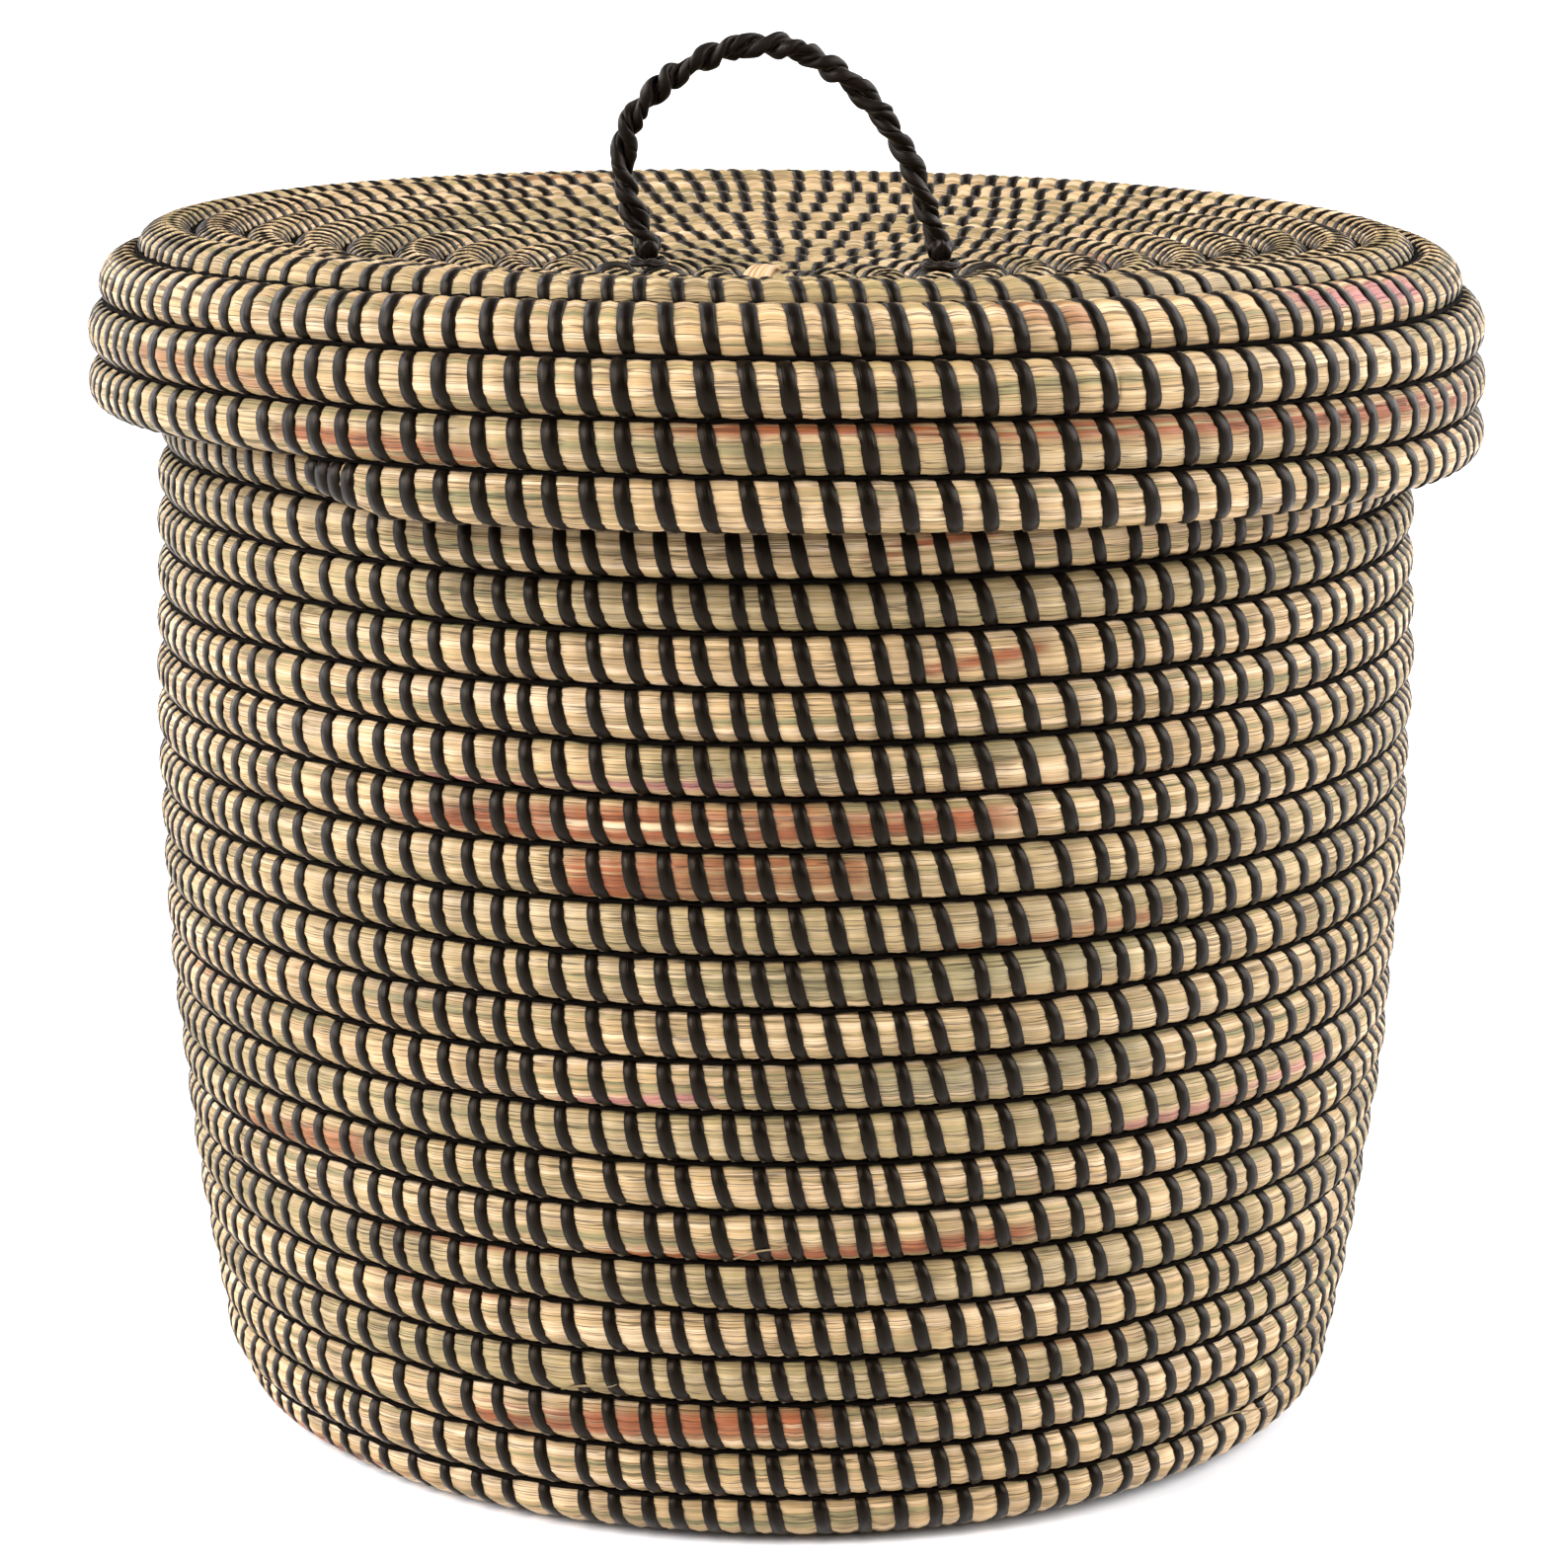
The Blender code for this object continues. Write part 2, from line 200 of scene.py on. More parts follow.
def arc(centre, radius, first, last):
    """Points of an arc between two directions, in degrees from the radius axis."""
    count = max(2, round(abs(math.radians(last - first)) * radius / PROFILE_STEP))
    angles = np.radians(np.linspace(first, last, count))
    return [(centre[0] + radius * math.cos(a), centre[1] + radius * math.sin(a)) for a in angles]


def wall_radius(height):
    """Outer radius of the basket's wall."""
    curve = CURVE_BELOW if height < BELLY_HEIGHT else CURVE_ABOVE
    return BELLY_RADIUS - curve * (height - BELLY_HEIGHT) ** 2


def basket_profile():
    """Middle of the basket's coil: flat base, round corner, barrel-shaped wall."""
    slope = 2 * CURVE_BELOW * (BELLY_HEIGHT - CORNER_TOP)
    turn = 90.0 - math.degrees(math.atan(slope))
    corner = (CORNER_TOP - COIL_HALF) / (1 - math.cos(math.radians(turn)))
    flat_end = wall_radius(CORNER_TOP) - COIL_HALF - corner * math.sin(math.radians(turn))
    flat = [(r, COIL_HALF) for r in np.arange(0.0, flat_end - PROFILE_STEP, PROFILE_STEP)]
    bend = arc((flat_end, COIL_HALF + corner), corner, -90.0, turn - 90.0)
    heights = np.arange(CORNER_TOP + PROFILE_STEP, RIM_HEIGHT + 2 * BASKET_PITCH, PROFILE_STEP)
    wall = [(wall_radius(height) - COIL_HALF, height) for height in heights]
    return Profile(flat + bend + wall)


def dish_height(radius):
    """Height of the middle of the lid's coil inside its shoulder."""
    return LID_CENTRE_HEIGHT + DISH_RISE * (radius / DISH_RADIUS) ** 2


def lid_profile():
    """Middle of the lid's coil: dish, round shoulder, upright skirt."""
    dish = [(r, dish_height(r)) for r in np.arange(0.0, DISH_RADIUS, PROFILE_STEP)]
    slope = math.atan(2 * DISH_RISE / DISH_RADIUS)
    shoulder = (SKIRT_RADIUS - DISH_RADIUS) / (1 + math.sin(slope))
    centre = (SKIRT_RADIUS - shoulder, dish_height(DISH_RADIUS) - shoulder * math.cos(slope))
    bend = arc(centre, shoulder, 90.0 + math.degrees(slope), 0.0)
    heights = np.arange(centre[1] - PROFILE_STEP, SKIRT_END_HEIGHT - 2 * LID_PITCH, -PROFILE_STEP)
    return Profile(dish + bend + [(SKIRT_RADIUS, height) for height in heights])


# --------------------------------------------------------------------------- coils

def ripple(values, seed, waves):
    """A smooth, repeatable wobble between about -1 and 1: a few sines of odd lengths."""
    draw = random.Random(seed)
    total = 0.0
    for wave in waves:
        total = total + np.sin(values * wave * draw.uniform(0.85, 1.15) + draw.uniform(0, 6.28))
    return total / len(waves)


class Coil:
    """A rope wound along a profile, with the length of rope measured from its start.

    hand is 1 where the rope runs towards larger angles and -1 where it runs back, and angle
    is its direction at the start, in degrees. edge is the distance along the profile where
    the flat part ends. sag is how far the outer edge hangs down at both sides and at the
    right. sewing gives, at lengths of rope, the share of the full stitch spacing and width.

    around is 0 at the ridge towards the next turn and 0.5 at the ridge towards the last one.
    The strip goes over the outside from the first ridge to the second, and back inside.
    """

    def __init__(self, profile, pitch, hand, end, stitch, strip, lean, bow, seed):
        self.profile, self.pitch, self.hand, self.seed = profile, pitch, hand, seed
        self.stitch, self.strip, self.lean, self.bow = stitch, strip, lean, bow
        self.start = KNOT_RADIUS + GAP + pitch / 2
        self.full_turns = (end - self.start) / pitch
        self.angle, self.edge = 0.0, 0.0
        self.sag, self.sewing = (0.0, 0.0), ((0.0,), (1.0,))
        self.blades, self.places = (), ()
        turns = np.linspace(0.0, self.full_turns + 1.0, 12000)
        radius = profile.at(self.start + pitch * turns, 0.0)[0]
        steps = math.pi * (radius[1:] + radius[:-1]) * np.diff(turns)
        self.turn_table = turns
        self.length_table = np.concatenate(([0.0], np.cumsum(steps)))
        self.length = self.length_at(self.full_turns) + TIP_LENGTH

    def turn_of(self, length):
        """Turns made by the rope up to a length of it."""
        return np.interp(length, self.length_table, self.turn_table)

    def length_at(self, turn):
        """Length of rope in a number of turns."""
        return np.interp(turn, self.turn_table, self.length_table)

    def turn_to(self, theta):
        """Share of a turn from the rope's start to a direction."""
        return (self.hand * (theta - math.radians(self.angle)) / (2 * math.pi)) % 1.0

    def turn_near(self, height, theta):
        """The turn that passes a direction at about a height, beyond the coil's flat part."""
        turns = np.arange(0.0, self.full_turns + 1.0)
        away = self.turn_to(theta)
        distances = self.start + self.pitch * (turns + away)
        heights = self.profile.at(distances, 0.0)[1]
        off = np.abs(heights - height) + np.where(distances < self.edge, 1.0, 0.0)
        return float(turns[np.argmin(off)] + away)

    def length_at_distance(self, distance):
        """The length of rope where its middle is a distance along the profile."""
        return float(self.length_at((distance - self.start) / self.pitch))

    def sewn(self, length):
        """Share of the strip's full spacing and width at a length of rope."""
        return np.interp(length, *self.sewing)

    def wander(self, turn):
        """How far the groove beyond a turn strays from its even place."""
        return WANDER * ripple(turn, self.seed + 40, (3.7, 8.9, 19.0))

    def surface(self, length, around, swell, lift=0.0):
        """Points on the rope: swell scales its section, and lift stands off it. At the ridges
        the next row is in the way, so both count only in part there."""
        turn = self.turn_of(length)
        near_end = np.clip((self.length - length) / TIP_LENGTH, 0.0, 1.0)
        size = TIP_SIZE + (1.0 - TIP_SIZE) * near_end ** TIP_ROUNDNESS
        angle = 2 * math.pi * around
        power = 2.0 / ROPE_SQUARENESS
        ridge = np.sign(np.cos(angle)) * np.abs(np.cos(angle)) ** power
        face = np.sign(np.sin(angle)) * np.abs(np.sin(angle)) ** power
        reach = (self.pitch - GAP) / 2 * size
        wobble = WOBBLE * (0.8 + ripple(turn, self.seed, (5.1, 9.7, 17.3)))
        middle = self.start + self.pitch * (turn - 0.5) + GAP / 2 + reach
        distance = middle + (reach * (0.7 + 0.3 * swell) + 0.4 * lift) * ridge
        distance = distance + 0.5 * (1 + ridge) * self.wander(turn)
        distance = distance + 0.5 * (1 - ridge) * self.wander(turn - 1)
        side = (ROPE_HALF * size * swell + lift) * face + wobble
        return self.point(turn, distance, side)

    def point(self, turn, distance, side):
        """A point on the profile swung to a turn's direction. A sagging edge hangs lower at
        its sides than at its front and back."""
        radius, height = self.profile.at(distance, side)
        theta = math.radians(self.angle) + self.hand * 2 * math.pi * turn
        low = np.interp(distance, SAG_ZONE, (0.0, 1.0))
        height = height - low * (self.sag[0] * np.cos(theta) ** 2 + self.sag[1] * np.cos(theta))
        return np.stack((radius * np.cos(theta), radius * np.sin(theta), height), axis=-1)

    def advance(self, part):
        """Share of a stitch's spacing that the strip has moved along after a part of its
        pass: a lean over the outside, the rest inside."""
        outside = np.clip(2 * part, 0.0, 1.0)
        inside = np.clip(2 * part - 1, 0.0, 1.0)
        bowed = (1 - self.bow) * outside + self.bow * outside ** 3
        return self.lean * bowed + (1 - self.lean) * inside

    def part_of(self, around):
        """Which part of the strip's pass lies at a place round the rope."""
        return around if self.hand < 0 else 1.0 - around


def place_stitches(coil):
    """Rope lengths where passes of the strip start: beside a stitch of the row before."""
    draw = random.Random(coil.seed)
    places, turns, older = [0.0], [0.0], 0
    while places[-1] < coil.length + coil.stitch:
        bound = places[-1] > coil.length - BINDING_LENGTH
        spacing = coil.stitch * coil.sewn(places[-1]) * (BINDING_SPACING if bound else 1.0)
        wish = places[-1] + spacing * draw.uniform(*STITCH_SPREAD)
        turn = float(coil.turn_of(wish))
        while turns[older] + 1.0 < turn and older + 1 < len(turns):
            older += 1
        near = min(turns[max(older - 1, 0):older + 1], key=lambda t: abs(t + 1.0 - turn))
        drift = STITCH_DRIFT * ripple(turn, coil.seed + 5, (2.3, 6.28, 0.7))
        beside = float(coil.length_at(near + 1.0)) + drift + STITCH_SLIP * draw.uniform(-1, 1)
        low, high = BESIDE_SPREAD
        if turn > 1.5 and not bound and low < (beside - places[-1]) / spacing < high:
            wish = beside
        places.append(wish)
        turns.append(float(coil.turn_of(wish)))
    return np.array(places)


def pinch(coil, length, around):
    """1 under the strip, falling to 0 over its shoulders in the windows between passes."""
    share, sewn = coil.advance(coil.part_of(around)), coil.sewn(length)
    index = np.searchsorted(coil.places, length - share * coil.stitch * sewn) - 1
    nearest = np.full(np.shape(length + around), 1.0)
    for step in (-1, 0, 1):
        here = np.clip(index + step, 0, len(coil.places) - 2)
        gap = coil.places[here + 1] - coil.places[here]
        nearest = np.minimum(nearest, np.abs(length - coil.places[here] - share * gap))
    open_share = np.clip((nearest - STRIP_HOLD * coil.strip * sewn) / SHOULDER, 0.0, 1.0)
    return 1.0 - open_share * open_share * (3.0 - 2.0 * open_share)


def fibres(length, around, seed):
    """Uneven ridges along the rope, where the stalks of the bundle show through."""
    total = 0.0
    for waves, drift, weight in ((5, 4.0, 0.6), (9, 7.0, 0.9), (14, 11.0, 0.9)):
        phase = ripple(length * drift, seed + waves, (1.0, 2.7)) * 3.0
        total = total + weight * np.sin(2 * math.pi * waves * around + phase)
    return total


# --------------------------------------------------------------------------- meshes

def tube_faces(rings):
    """Vertices of a tube's quads and of its two end caps, in order so that all face out."""
    count, sides = rings.shape[:2]
    index = np.arange(count * sides).reshape(count, sides)
    after = np.roll(index, -1, axis=1)
    quads = np.stack((index[:-1], after[:-1], after[1:], index[1:]), axis=-1).reshape(-1, 4)
    caps = [index[0][::-1], index[-1]]
    here, there = rings[count // 2], rings[count // 2 + 1]
    middle = here - here.mean(axis=0)
    spin = np.cross(middle, np.roll(middle, -1, axis=0)).sum(axis=0)
    if np.dot(spin, there.mean(axis=0) - here.mean(axis=0)) < 0:
        return quads[:, ::-1], [cap[::-1] for cap in caps]
    return quads, caps


def skin(name, rings, along, wide):
    """A closed tube's object through rings of points. along is each ring's place in metres,
    and wide is the tube's girth, which its packed map needs."""
    rings = np.asarray(rings, dtype=np.float32)
    count, sides = rings.shape[:2]
    quads, caps = tube_faces(rings)
    loops = np.concatenate([quads.ravel()] + caps).astype(np.int32)
    starts = np.concatenate((np.arange(len(quads)) * 4,
                             len(quads) * 4 + np.array([0, sides]))).astype(np.int32)
    mesh = bpy.data.meshes.new(name)
    mesh.vertices.add(count * sides)
    mesh.vertices.foreach_set("co", rings.ravel())
    mesh.loops.add(len(loops))
    mesh.loops.foreach_set("vertex_index", loops)
    mesh.polygons.add(len(starts))
    mesh.polygons.foreach_set("loop_start", starts)
    mesh.polygons.foreach_set("use_smooth", np.arange(len(starts)) < len(quads))
    mesh.update(calc_edges=True)
    set_maps(mesh, quads, loops, count, sides, along, wide)
    mesh.validate()
    made = bpy.data.objects.new(name, mesh)
    bpy.context.scene.collection.objects.link(made)
    return made


def set_maps(mesh, quads, loops, count, sides, along, wide):
    """UV map rope, in metres along and shares of a turn around, and OFBake: the tube cut
    into equal lengths that lie side by side."""
    ring, side = loops // sides, (loops % sides).astype(float)
    seam = np.zeros(len(loops), bool)
    seam[:quads.size] = np.repeat((quads % sides).max(axis=1) - (quads % sides).min(axis=1) > 1, 4)
    side = np.where(seam & (side == 0), sides, side)
    rope = np.stack((along[ring], side / sides), axis=-1).astype(np.float32)
    total = along[-1] - along[0]
    lanes = max(1, round(math.sqrt(total / (wide * 1.15))))
    face_ring = np.repeat(quads.min(axis=1) // sides, 4)
    lane = np.zeros(len(loops), int)
    lane[:quads.size] = np.minimum(face_ring * lanes // (count - 1), lanes - 1)
    lane[quads.size + sides:] = lanes - 1
    first = np.ceil(lane * (count - 1) / lanes)
    span = (count - 1) / lanes + 1
    bake = np.stack(((ring - first + 0.5) / (span + 1),
                     (lane + 0.06 + 0.88 * side / sides) / lanes), axis=-1).astype(np.float32)
    for name, values in (("rope", rope), ("OFBake", bake)):
        layer = mesh.uv_layers.new(name=name)
        layer.uv.foreach_set("vector", values.ravel())
    mesh.uv_layers.active = mesh.uv_layers["rope"]
    mesh.uv_layers["rope"].active_render = True


class Blades:
    """Coloured blades in the bundle: the row by its height, the stretch of it in degrees from
    the front to the right, the place and width around the rope, and how strong they are."""

    def __init__(self, channel, height, first, last, around, width, strength=1.0):
        self.channel, self.height, self.strength = channel, height, strength
        self.first, self.last, self.around, self.width = first, last, around, width

    def amount(self, coil, turn, around):
        """Strength at turns and places around the rope: full along the stretch and fading at
        its ends, slanting a little across the row."""
        middle = math.radians(0.5 * (self.first + self.last) - 90.0)
        centre = coil.turn_near(self.height, middle)
        reach = 0.5 * (self.last - self.first) / 360.0
        slant = 0.06 * (turn - centre) / reach
        beside = np.abs(around - self.around - slant) / self.width
        along = np.abs(turn - centre) / reach
        return self.strength * np.clip(1.6 * (1.0 - beside), 0, 1) * np.clip(5 * (1 - along), 0, 1)


def paint(made, coil, length, around):
    """Store the coloured blades on a rope as shares of rust, pink and green."""
    turn = coil.turn_of(length)
    shares = np.zeros((len(length), np.size(around), 4), dtype=np.float32)
    for blades in coil.blades:
        shares[:, :, blades.channel] += blades.amount(coil, turn, around)
    layer = made.data.attributes.new("tint", "FLOAT_COLOR", "POINT")
    layer.data.foreach_set("color", np.clip(shares, 0.0, 1.0).ravel())


def rope_piece(coil, name, first, last):
    """A stretch of grass rope."""
    count = int((last - first) / ROPE_STEP) + 2
    length = np.linspace(first, last, count)[:, None]
    around = (np.arange(ROPE_SIDES) / ROPE_SIDES)[None, :]
    swell = 1.0 - PINCH * pinch(coil, length, around)
    swell = swell + FIBRE_RELIEF * fibres(length, around, coil.seed)
    rings = coil.surface(length, around, swell)
    made = skin(name, rings, length[:, 0], wide=0.036)
    paint(made, coil, length, around)
    return made


def ribbon(name, points, normals, width, thickness=STRIP_THICKNESS):
    """A flat strip along points, its face towards the normals and its edges turned down."""
    ahead = np.gradient(points, axis=0)
    across = np.cross(ahead, normals)
    across /= np.linalg.norm(across, axis=1)[:, None]
    width = np.broadcast_to(width, len(points))[:, None]
    section = ((-0.5, -0.6), (-0.42, 0.75), (0.0, 1.15), (0.42, 0.75), (0.5, -0.6))
    rings = [points + across * (x * width) + normals * (y * thickness) for x, y in section]
    steps = np.linalg.norm(np.diff(points, axis=0), axis=1)
    along = np.concatenate(([0.0], np.cumsum(steps)))
    return skin(name, np.stack(rings, axis=1), along, wide=0.0085)


def winding(coil, name, starts, gaps, lift=0.0):
    """A strip wound once round the rope from each start, moving along by its gap."""
    part = np.arange(STRIP_STEPS) / STRIP_STEPS
    length = (starts[:, None] + gaps[:, None] * coil.advance(part)[None, :]).ravel()
    around = np.mod(coil.part_of(np.tile(part, len(starts))), 1.0)
    low = coil.surface(length, around, 1.0 - PINCH, lift)
    normal = coil.surface(length, around, 1.0 - PINCH, lift + 0.001) - low
    normal /= np.linalg.norm(normal, axis=1)[:, None]
    stitch = np.arange(len(length)) / STRIP_STEPS
    width = coil.strip * coil.sewn(length)
    width = width * (1.0 + 0.10 * ripple(stitch, coil.seed + 3, (1.7, 3.1, 0.37)))
    squeeze = 1.0 - 0.25 * np.abs(np.cos(2 * math.pi * around)) ** 4
    return ribbon(name, low, normal, width * squeeze)


def strip_piece(coil, name, first, last):
    """The sewn strip over a stretch of rope: one turn for each stitch."""
    chosen = np.nonzero((coil.places[:-1] >= first) & (coil.places[:-1] < last))[0]
    return winding(coil, name, coil.places[chosen], np.diff(coil.places)[chosen])


def groove_strip_and_shade_piece(coil, name, first, last):
    """Strip that runs on between two rows, deep in the groove, from stitch to stitch, and painted
    shade: a dark matte band that fills the groove where the rows meet.
    """
    count = int((last - first) / GROOVE_STEP) + 2
    length = np.linspace(first, last, count)
    turn = coil.turn_of(length)
    rings = []
    deep = GROOVE_DEPTH + GROOVE_ROUGHNESS * ripple(length * 400, coil.seed, (1.0, 1.9))
    half = GROOVE_HALF * (1 + 0.5 * ripple(length * 500, coil.seed + 2, (1.0, 2.3)))
    for rise, side in ((-1, -1), (1, -1), (1, 1), (-1, 1)):
        distance = coil.start + coil.pitch * (turn - 0.5) + coil.wander(turn - 1) + half * rise
        rings.append(coil.point(turn, distance, side * deep))
    return skin(name, np.stack(rings, axis=1), length, wide=0.014)


# --------------------------------------------------------------------------- materials

class Nodes:
    """Short ways to add nodes to a material."""

    def __init__(self, name):
        self.material = bpy.data.materials.new(name)
        self.material.use_nodes = True
        self.tree = self.material.node_tree
        self.shader = self.tree.nodes["Principled BSDF"]

    def link(self, value, socket):
        """Feed a socket from another socket, or set it to a value."""
        if isinstance(value, bpy.types.NodeSocket):
            self.tree.links.new(value, socket)
        else:
            socket.default_value = value

    def math(self, kind, *values):
        """A sum, product or other step of arithmetic."""
        node = self.tree.nodes.new("ShaderNodeMath")
        node.operation = kind
        for value, socket in zip(values, node.inputs):
            self.link(value, socket)
        return node.outputs[0]

    def rope_map(self):
        """Metres along the rope, and shares of a turn around it."""
        uv = self.tree.nodes.new("ShaderNodeUVMap")
        uv.uv_map = "rope"
        split = self.tree.nodes.new("ShaderNodeSeparateXYZ")
        self.link(uv.outputs[0], split.inputs[0])
        return split.outputs[0], split.outputs[1]

    def vector(self, x, y, z):
        node = self.tree.nodes.new("ShaderNodeCombineXYZ")
        for value, socket in zip((x, y, z), node.inputs):
            self.link(value, socket)
        return node.outputs[0]

    def streak(self, long, wide, seed, detail=2.0):
        """Noise drawn out along the rope: long waves a metre, wide waves a turn around."""
        along, around = self.rope_map()
        node = self.tree.nodes.new("ShaderNodeTexNoise")
        self.link(self.vector(self.math("MULTIPLY", along, long),
                              self.math("MULTIPLY", around, wide), seed), node.inputs["Vector"])
        node.inputs["Scale"].default_value = 1.0
        node.inputs["Detail"].default_value = detail
        return node.outputs[0]

    def ramp(self, value, stops):
        """Colours that follow a value through (value, colour) stops."""
        node = self.tree.nodes.new("ShaderNodeValToRGB")
        self.link(value, node.inputs[0])
        while len(node.color_ramp.elements) < len(stops):
            node.color_ramp.elements.new(0.5)
        for element, (place, colour) in zip(node.color_ramp.elements, stops):
            element.position = place
            element.color = (*colour, 1.0)
        return node.outputs[0]

    def grey(self, value, low, high, dark=0.0, light=1.0):
        """A smooth step from dark at low to light at high."""
        node = self.tree.nodes.new("ShaderNodeMapRange")
        node.interpolation_type = "SMOOTHSTEP"
        for put, socket in zip((value, low, high, dark, light), node.inputs):
            self.link(put, socket)
        return node.outputs[0]

    def mix(self, share, first, second, blend="MIX"):
        node = self.tree.nodes.new("ShaderNodeMix")
        node.data_type = "RGBA"
        node.blend_type = blend
        self.link(share, node.inputs[0])
        self.link(first, node.inputs[6])
        self.link(second, node.inputs[7])
        return node.outputs[2]

    def bump(self, height, distance, strength):
        node = self.tree.nodes.new("ShaderNodeBump")
        node.inputs["Strength"].default_value = strength
        node.inputs["Distance"].default_value = distance
        self.link(height, node.inputs["Height"])
        self.link(node.outputs[0], self.shader.inputs["Normal"])


PALE = (0.64, 0.467, 0.283)
CREAM = (0.53, 0.362, 0.188)
STRAW = (0.41, 0.266, 0.118)
DULL = (0.30, 0.232, 0.102)
OLIVE = (0.19, 0.165, 0.07)
PINK = (0.40, 0.155, 0.13)
RUST = (0.26, 0.076, 0.024)
BROWN = (0.045, 0.028, 0.012)
ORANGE = (0.34, 0.15, 0.06)
TAN = (0.52, 0.32, 0.14)
SEWN_BLACK = (0.0020, 0.0012, 0.0007)
HANDLE_BLACK = (0.0042, 0.0032, 0.0026)
# Matte black of the strip deep in the grooves, which is also painted shade between the rows.
GROOVE_STRIP_AND_SHADE = (0.0025, 0.0016, 0.001)


def colour_blades(n, base):
    """Add the painted rust, pink and green blades, with ragged ends, and a few stray ones."""
    tint = n.tree.nodes.new("ShaderNodeAttribute")
    tint.attribute_name = "tint"
    share = n.tree.nodes.new("ShaderNodeSeparateColor")
    n.link(tint.outputs["Color"], share.inputs[0])
    ragged = n.grey(n.streak(14.0, 15.0, 8.0), 0.34, 0.50)
    for number, (colour, wild) in enumerate(((RUST, 0.68), (PINK, 0.69), (OLIVE, 0.66))):
        stray = n.grey(n.streak(4.5, 4.0, 21.0 + number), wild, wild + 0.06, 0.0, 0.7)
        amount = n.math("MAXIMUM", n.math("MULTIPLY", share.outputs[number], ragged), stray)
        base = n.mix(amount, base, (*colour, 1.0))
    return base


def grass_material():
    """A bundle of dry blades: streaks of many tones, finer fibres, and dark creases."""
    n = Nodes("seagrass_blades")
    tone = n.streak(11.0, 17.0, 3.0, 3.0)
    base = n.ramp(tone, ((0.30, OLIVE), (0.38, DULL), (0.45, STRAW), (0.53, CREAM), (0.64, PALE)))
    region = n.streak(1.3, 0.6, 12.0)
    base = n.mix(n.grey(region, 0.35, 0.60, 0.55, 0.0), base, (*DULL, 1.0))
    base = colour_blades(n, base)
    fine = n.streak(60.0, 120.0, 1.0)
    patch = n.streak(95.0, 3.0, 40.0)
    for value, stops in ((fine, ((0.32, 0.66), (0.5, 0.96), (0.68, 1.14))),
                         (patch, ((0.35, 0.78), (0.6, 1.1)))):
        light = n.ramp(value, [(place, (grey,) * 3) for place, grey in stops])
        base = n.mix(1.0, base, light, "MULTIPLY")
    crease = n.math("ABSOLUTE", n.math("SUBTRACT", n.streak(16.0, 34.0, 30.0), 0.5))
    line = n.grey(crease, 0.0, 0.018, 1.0, 0.0)
    shown = n.mix(n.math("MULTIPLY", line, 0.6), base, (*BROWN, 1.0))
    n.link(shown, n.shader.inputs["Base Color"])
    n.link(n.grey(fine, 0.3, 0.7, 0.62, 0.45), n.shader.inputs["Roughness"])
    n.shader.inputs["Specular IOR Level"].default_value = 0.3
    height = n.math("SUBTRACT", n.math("ADD", n.math("MULTIPLY", fine, 0.6), tone), line)
    n.bump(height, 0.0004, 0.9)
    return n.material


def strip_material(name, colour, rough):
    """Flat black strip with a satin face and fine lines along it."""
    n = Nodes(name)
    lines, wear = n.streak(60.0, 26.0, 0.0), n.streak(240.0, 5.0, 5.0)
    pale = tuple(2.0 * part for part in colour)
    n.shader.inputs["Specular IOR Level"].default_value = 0.5
    n.shader.inputs["Specular Tint"].default_value = (0.22, 0.17, 0.12, 1.0)
    n.shader.inputs["Sheen Weight"].default_value = 0.3
    n.shader.inputs["Sheen Roughness"].default_value = 0.20
    n.shader.inputs["Sheen Tint"].default_value = (1.0, 0.76, 0.54, 1.0)
    n.link(n.ramp(lines, ((0.35, colour), (0.75, pale))), n.shader.inputs["Base Color"])
    n.link(n.grey(wear, 0.3, 0.7, rough - 0.08, rough + 0.14), n.shader.inputs["Roughness"])
    n.bump(lines, 0.00012, 0.7)
    return n.material


def plain_material(name, colour, rough, specular):
    """One even colour, for the floor and for the strip deep in a groove, which is also painted
    shade there.
    """
    n = Nodes(name)
    n.shader.inputs["Base Color"].default_value = (*colour, 1.0)
    n.shader.inputs["Roughness"].default_value = rough
    n.shader.inputs["Specular IOR Level"].default_value = specular
    return n.material


def leaf_material():
    """A broad dry leaf, tan with orange along its veins."""
    n = Nodes("folded_leaf")
    veins = n.streak(25.0, 22.0, 2.0)
    n.link(n.ramp(veins, ((0.35, ORANGE), (0.47, TAN), (0.62, PALE))),
           n.shader.inputs["Base Color"])
    n.link(n.grey(veins, 0.3, 0.7, 0.6, 0.45), n.shader.inputs["Roughness"])
    n.bump(veins, 0.0003, 0.8)
    return n.material


# --------------------------------------------------------------------------- pieces

def finish_piece(made, material, body, slot, *nodes):
    """Give a piece its material and body, and hide the CAD nodes that it stands for. slot is not
    used.
    """
    made.data.materials.append(material)
    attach(made, body)
    if nodes:
        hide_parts(*nodes)


def make_coil(coil, body, stretches, grass, strip, shade):
    """All pieces of a coil. stretches are (name, first length, last length, CAD nodes)."""
    for name, first, last, nodes in stretches:
        count = max(1, math.ceil((last - first) / ROPE_PIECE))
        ends = np.linspace(first, last, count + 1)
        for number, (here, there) in enumerate(zip(ends, ends[1:]), 1):
            rope = rope_piece(coil, f"{name}_rope_{number}", here, there)
            finish_piece(rope, grass, body, "seagrass", *nodes)
            sewn = strip_piece(coil, f"{name}_strip_{number}", here, there)
            finish_piece(sewn, strip, body, "black_strip", *nodes)
            # Dark band in each groove: the strip's run between stitches, and painted shade between
            # the rows.
            groove_run_and_shade = groove_strip_and_shade_piece(coil, f"{name}_groove_{number}", here, there)
            finish_piece(groove_run_and_shade, shade, body, "black_strip", *nodes)


